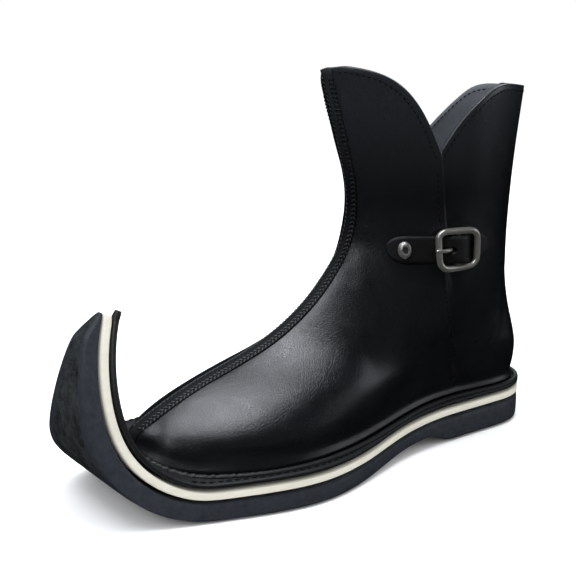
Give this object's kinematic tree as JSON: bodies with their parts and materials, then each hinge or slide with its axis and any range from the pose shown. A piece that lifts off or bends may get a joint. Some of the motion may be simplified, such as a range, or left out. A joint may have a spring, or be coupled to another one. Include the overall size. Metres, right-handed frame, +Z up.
{
  "type": "curled-toe ankle boot",
  "caption": "Short black leather boot for the right foot with a layered sole that curls up in front of the toe, a notched collar and a buckled strap on each side.",
  "frame": {"origin": "middle of the bounding box at the floor the boot stands on", "axes": "+X from toe to heel, +Y to the outer side of the foot, +Z up"},
  "size_m": [0.3092, 0.1176, 0.2202],
  "materials": {
    "black_rubber": "matte moulded rubber, pebbled underneath",
    "cream_rubber": "matte cream rubber layer",
    "black_leather": "smooth black leather with a soft sheen",
    "insole_leather": "undyed leather board",
    "nickel": "polished nickel plate"
  },
  "bodies": {
    "root": {"outsole": "black_rubber", "midsole": "cream_rubber", "welt": "black_leather", "insole": "insole_leather", "upper": "black_leather", "front_strip": "black_leather", "back_strip": "black_leather", "strap_inner": "black_leather", "strap_outer": "black_leather", "buckle_tab_inner": "black_leather", "buckle_tab_outer": "black_leather", "buckle_frame_inner": "nickel", "buckle_frame_outer": "nickel", "buckle_prong_inner": "nickel", "buckle_prong_outer": "nickel", "rivet_inner": "nickel", "rivet_outer": "nickel"}
  },
  "joints": []
}
